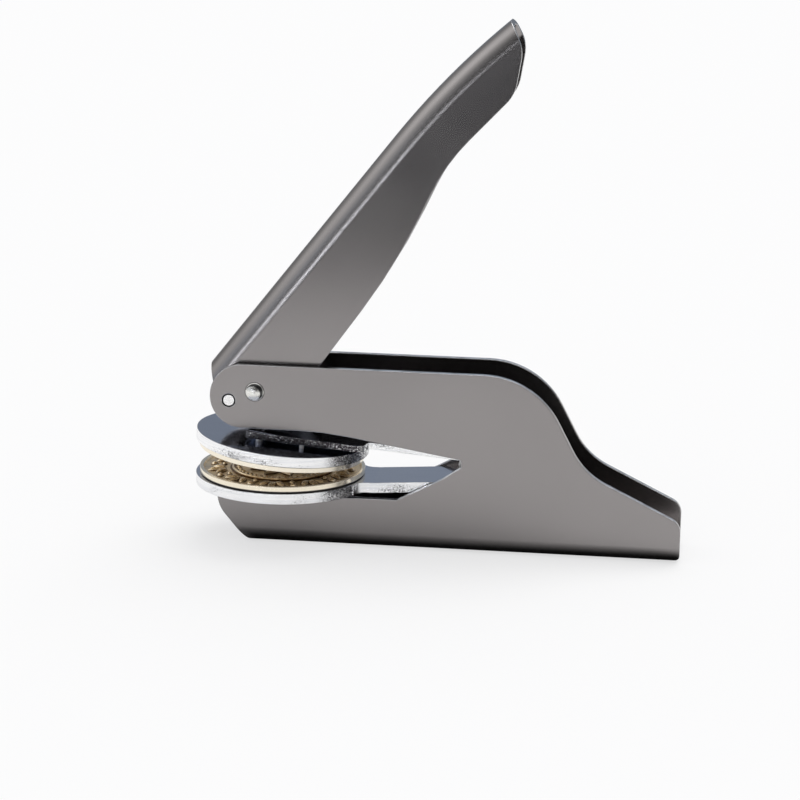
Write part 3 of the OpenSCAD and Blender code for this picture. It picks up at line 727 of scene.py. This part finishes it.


# %% [markdown]
# The brass is not one even colour. Polish has brightened the raised parts and tarnish has settled in
# the field. At the foot of each figure a nearly black tone is painted in as shade. A curvature
# pattern could find these places, but the height map knows them exactly. So the mesh builder stores
# them as three vertex attributes, and the finish mixes its tones by them.

# %% Brass for the dies
def engraved_brass(name, lip, tops, field, relief_shade):
    """Brass in four tones, told apart by the attributes raised, relief_shade and lip of the die's
    mesh. The relief_shade tone is painted shade at the foot of the figures.
    """
    material, tree, shader = new_finish(name, Metallic=0.88)
    read = {key: add_node(tree, "ShaderNodeAttribute", attribute_name=key).outputs["Fac"]
            for key in ("raised", "relief_shade", "lip")}
    cloud = noise(tree, (260, 260, 260), detail=4.0)
    grain = noise(tree, (2600, 2600, 2600), detail=2.0)
    tone = mixed(tree, ramp(tree, cloud, 0.0, 1.0, 0.35, 0.7), field, tuple(0.72 * c for c in field))
    tone = mixed(tree, ramp(tree, read["raised"], 0.0, 1.0, 0.15, 0.8), tone, tops)
    # Painted shade at the foot of each figure.
    tone = mixed(tree, ramp(tree, read["relief_shade"], 0.0, 1.0, 0.14, 0.65), tone, relief_shade)
    tone = mixed(tree, read["lip"], tone, mixed(tree, grain, tuple(0.93 * c for c in lip), lip))
    tree.links.new(tone, shader.inputs["Base Color"])
    tree.links.new(ramp(tree, read["raised"], 0.36, 0.17, 0.1, 0.8), shader.inputs["Roughness"])
    bump(tree, shader, grain, 0.00002, 0.4)
    return material


# %% The lower die, raised, on its pad
lower_die = die_mesh("lower_relief_die", False, disc_low.z, True)
lower_die.data.materials.append(engraved_brass("brass_lower", (1.0, 0.91, 0.74), (1.0, 0.86, 0.64),
                                               (0.95, 0.80, 0.58), (0.16, 0.09, 0.04)))
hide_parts("lower_die")
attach(lower_die, "frame")

# %% [markdown]
# The upper die hangs under the tilted disc, so its mesh is built level, as with the machine closed,
# and then turned about the hinge line by the opening angle. The object could be turned instead, but
# the export expects it at the origin, so the turn is worked out on the vertices.

# %% The upper die, sunk, under its disc
OPEN = math.radians(JOINTS["upper_arm_hinge"]["range_deg"][1])
HINGE_X, _, HINGE_Z = JOINTS["upper_arm_hinge"]["pos_m"]
# Height of the upper die's flat side when the machine is closed.
FLAT_SIDE = 19.6 * MM


def turn_about_hinge(piece):
    """x' = hx + (x - hx) cos a + (z - hz) sin a, z' = hz - (x - hx) sin a + (z - hz) cos a."""
    p = read_vectors(piece.data.vertices, "co")
    x, z = p[:, 0] - HINGE_X, p[:, 2] - HINGE_Z
    p[:, 0] = HINGE_X + x * math.cos(OPEN) + z * math.sin(OPEN)
    p[:, 2] = HINGE_Z - x * math.sin(OPEN) + z * math.cos(OPEN)
    piece.data.vertices.foreach_set("co", p.ravel())
    piece.data.update()
    print("turned about the hinge by %.1f degrees" % math.degrees(OPEN))


upper_die = die_mesh("upper_relief_die", True, FLAT_SIDE, False)
turn_about_hinge(upper_die)
upper_die.data.materials.append(engraved_brass("brass_upper", (1.0, 0.92, 0.77), (1.0, 0.88, 0.68),
                                               (0.92, 0.80, 0.60), (0.20, 0.12, 0.06)))
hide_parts("upper_die")
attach(upper_die, "upper_jaw")

# %% [markdown]
# ## The studio
#
# The machine stands on a white table under one large soft light. The table and the room are as white
# as the picture's background where the camera sees them. More lamps could make them so, but they
# would bleach the machine too, so the whiteness is only for rays that come from the camera.

# %% The white table
TABLE_WHITE, PAPER_WHITE, PAPER_GLOW = 0.93, (0.985, 0.985, 0.99), 0.65


def studio_sheet(name, corners):
    """A flat sheet through four corners."""
    mesh = bpy.data.meshes.new(name)
    mesh.from_pydata(corners, [], [(0, 1, 2, 3)])
    sheet = new_piece(name, mesh)
    return sheet


def matt_paper(name, tone):
    """A finish without any gloss."""
    material, tree, shader = new_finish(name, Roughness=0.9, Specular_IOR_Level=0.0)
    feed(tree, shader.inputs["Base Color"], tone)
    return material, tree, shader


floor = studio_sheet("studio_floor", [(-6, -6, 0), (6, -6, 0), (6, 6, 0), (-6, 6, 0)])
material, tree, shader = matt_paper("floor_paper", (TABLE_WHITE, TABLE_WHITE, TABLE_WHITE))
paper_light = add_node(tree, "ShaderNodeEmission", Color=(*PAPER_WHITE, 1))
from_camera = add_node(tree, "ShaderNodeLightPath").outputs["Is Camera Ray"]
lit_paper = add_node(tree, "ShaderNodeMixShader")
tree.links.new(worked(tree, "MULTIPLY", from_camera, PAPER_GLOW), lit_paper.inputs[0])
tree.links.new(shader.outputs[0], lit_paper.inputs[1])
tree.links.new(paper_light.outputs[0], lit_paper.inputs[2])
tree.links.new(lit_paper.outputs[0], tree.nodes["Material Output"].inputs["Surface"])
floor.data.materials.append(material)
print("the table is %.1f m wide and %.1f m deep" % floor.dimensions[:2])

# %% The white room
ROOM_LIGHT, ROOM_SEEN = 0.72, 1.0
world = bpy.data.worlds.new("studio_world")
bpy.context.scene.world = world
world.use_nodes = True
sky = world.node_tree
path = add_node(sky, "ShaderNodeLightPath")
shown = worked(sky, "MAXIMUM", path.outputs["Is Camera Ray"], path.outputs["Is Transmission Ray"])
shown = worked(sky, "MAXIMUM", shown, path.outputs["Is Glossy Ray"])
sky.links.new(ramp(sky, shown, ROOM_LIGHT, ROOM_SEEN), sky.nodes["Background"].inputs["Strength"])
sky.nodes["Background"].inputs["Color"].default_value = (*PAPER_WHITE, 1)
print("the room lights at", ROOM_LIGHT, "and is seen at", ROOM_SEEN)

# %% [markdown]
# The light itself hangs over the table, a little behind the machine. A square lamp would do, but its
# light fades with distance. A sun has the same strength everywhere, and with a wide angle it is as
# soft as a large silk.

# %% The soft light overhead
def turned_to(place, aim):
    """A matrix that puts a lamp at a place, its light falling towards a point."""
    z = np.array(place, float) - np.array(aim, float)
    z /= np.linalg.norm(z)
    x = np.cross([0, 0, 1], z)
    x /= np.linalg.norm(x)
    y = np.cross(z, x)
    return Matrix([[x[i], y[i], z[i], place[i]] for i in range(3)] + [[0, 0, 0, 1]])


MIDDLE = (-0.01, 0, 0.05)
silk = bpy.data.lights.new("overhead_silk", "SUN")
silk.energy, silk.angle = 1.15, math.radians(50)
overhead = bpy.data.objects.new("overhead_silk", silk)
overhead.matrix_world = turned_to((0.30, 0.55, 1.2), MIDDLE)
overhead.visible_camera = False
bpy.context.scene.collection.objects.link(overhead)
print("overhead light of %.0f degrees" % math.degrees(silk.angle))

# %% [markdown]
# Metal shows the room round the table more than the lamps. The room here is an upright ring of cards,
# which only mirrors see: grey-blue walls, a soft panel at the left, a dark side behind the camera and
# a long bright slit at table height, front left, which draws the thin light along the lever's bend.
# Separate cards and lamps would do as well, but one ring whose light is a formula is easier to tune.

# %% The light of the room
def hill(x, middle, width):
    """A smooth hill: exp(-((x - middle) / width)^2)."""
    return np.exp(-((x - middle) / width) ** 2)


def slope(x, low, high):
    """Rises smoothly from 0 at low to 1 at high: t^2 (3 - 2t)."""
    t = np.clip((x - low) / (high - low), 0, 1)
    return t * t * (3 - 2 * t)


BLUISH, COOL_WHITE = np.array([0.74, 0.84, 1.0]), np.array([0.94, 0.98, 1.05])


def room_glow(turn, rise):
    """Light of the room by the turn to the left of the camera's side and the rise, in degrees.

    It is a sum of hills: grey walls, bluish behind the machine, a bluish wall at the near left, a
    white panel at the left and a cool white slit.
    """
    walls = 0.33 * (1 - 0.82 * hill(turn, -5, 42))
    near_wall = 0.42 * hill(turn, 54, 17) * hill(rise, 11, 10)
    panel = (0.62 + 0.45 * slope(rise, 22, 36)) * hill(turn, 84, 34) * slope(rise, 12, 21)
    slit = 10.5 * hill(turn, 24, 12) * hill(rise, -0.6, 1.7)
    behind = hill(np.abs(turn), 180, 30)[..., None]
    return (walls[..., None] * (1 - behind * (1 - BLUISH)) + near_wall[..., None] * BLUISH
            + panel[..., None] + slit[..., None] * COOL_WHITE)


# %% The ring of cards
RING, RING_FOOT, RING_JOIN = 1.7, 0.001, 0.05


def mirror_only(piece):
    """A stage piece that only mirrors see."""
    piece.visible_camera = False
    piece.visible_shadow = False
    piece.visible_diffuse = False


def toned_grid(name, points, tone):
    """A stage surface through a grid of points, its colours in the attribute tone, for mirrors."""
    mesh = bpy.data.meshes.new(name)
    mesh.from_pydata(points.reshape(-1, 3).tolist(), [], grid_quads(*points.shape[:2]).tolist())
    colour = np.ones((points.shape[0] * points.shape[1], 4), np.float32)
    colour[:, :3] = tone.reshape(-1, 3)
    mesh.attributes.new("tone", "FLOAT_COLOR", "POINT").data.foreach_set("color", colour.ravel())
    piece = new_piece(name, mesh)
    mirror_only(piece)
    print(name, "tones from %.2f to %.2f" % (tone.min(), tone.max()))
    return piece


turn, rise = np.meshgrid(np.linspace(-180, 180, 145), np.linspace(0, 44, 89), indexing="ij")
around = np.radians(turn)
card_height = np.where(rise > 0, RING_JOIN + RING * np.tan(np.radians(rise)), RING_FOOT)
ring_points = np.stack([-RING * np.sin(around), -RING * np.cos(around), card_height], -1)
room = toned_grid("room_cards", ring_points, room_glow(turn, rise))
material = bpy.data.materials.new("room_cards")
material.use_nodes = True
tree = material.node_tree
tree.nodes.remove(tree.nodes["Principled BSDF"])
card_light = add_node(tree, "ShaderNodeEmission")
card_tone = add_node(tree, "ShaderNodeAttribute", attribute_name="tone").outputs["Color"]
tree.links.new(card_tone, card_light.inputs["Color"])
tree.links.new(card_light.outputs[0], tree.nodes["Material Output"].inputs["Surface"])
material.cycles.emission_sampling = "NONE"
room.data.materials.append(material)

# %% [markdown]
# In front, outside the picture, a dark mat lies on the table. The upper part of the lever mirrors it,
# which makes the flange fade towards the tip. A darker paint at the tip would look alike, but only
# from this one side.

# %% The dark mat
MAT_HALF, MAT_FAR, MAT_NEAR, MAT_TOP = 0.9, -1.5, -0.35, 0.0005
mat = studio_sheet("dark_mat", [(-MAT_HALF, MAT_FAR, MAT_TOP), (MAT_HALF, MAT_FAR, MAT_TOP),
                                (MAT_HALF, MAT_NEAR, MAT_TOP), (-MAT_HALF, MAT_NEAR, MAT_TOP)])
mat.data.materials.append(matt_paper("dark_mat", (0.02, 0.02, 0.023))[0])
mirror_only(mat)
print("the mat begins %.2f m in front of the machine's middle" % -MAT_NEAR)

# %% [markdown]
# A picture like this one is lit so softly that the table looks white right up to the machine, while
# the metal still mirrors the deep shade at its foot. A thin sheet that only mirrors see gives that
# shade: it is dark under the base and gets lighter with the distance from it. It could also come from
# a lower light, but the table's white would then go grey.

# %% The shade at the foot
# In mm: the front and rear end of the flat base, and half its width.
BASE_FRONT, BASE_REAR, BASE_HALF = -52.5, 55.0, 9.4


def foot_shade(x, y):
    """Whiteness of the table by place in mm: 0.93 (1 - a exp(-d/4) - b exp(-d/22)), d to the base."""
    away = np.maximum.reduce([np.abs(y) - BASE_HALF, BASE_FRONT - x, x - BASE_REAR, 0 * x])
    wide = 0.33 * (1 - slope(x, -12, 34)) + 0.16 * (1 - slope(x, -48, -22))
    return TABLE_WHITE * (1 - (0.95 - wide) * np.exp(-away / 4) - wide * np.exp(-away / 22))


shade_x, shade_y = np.meshgrid(np.linspace(-140, 120, 261), np.linspace(-80, 80, 161), indexing="ij")
shade_points = np.stack([shade_x * MM, shade_y * MM, 0 * shade_x + 0.3 * MM], -1)
shade_tone = np.repeat(foot_shade(shade_x, shade_y)[..., None], 3, axis=-1)
under = toned_grid("foot_shade", shade_points, shade_tone)
material, tree, shader = matt_paper("foot_shade", (TABLE_WHITE, TABLE_WHITE, TABLE_WHITE))
shade = add_node(tree, "ShaderNodeAttribute", attribute_name="tone").outputs["Color"]
tree.links.new(shade, shader.inputs["Base Color"])
under.data.materials.append(material)

bpy.context.scene.view_settings.view_transform = "Standard"
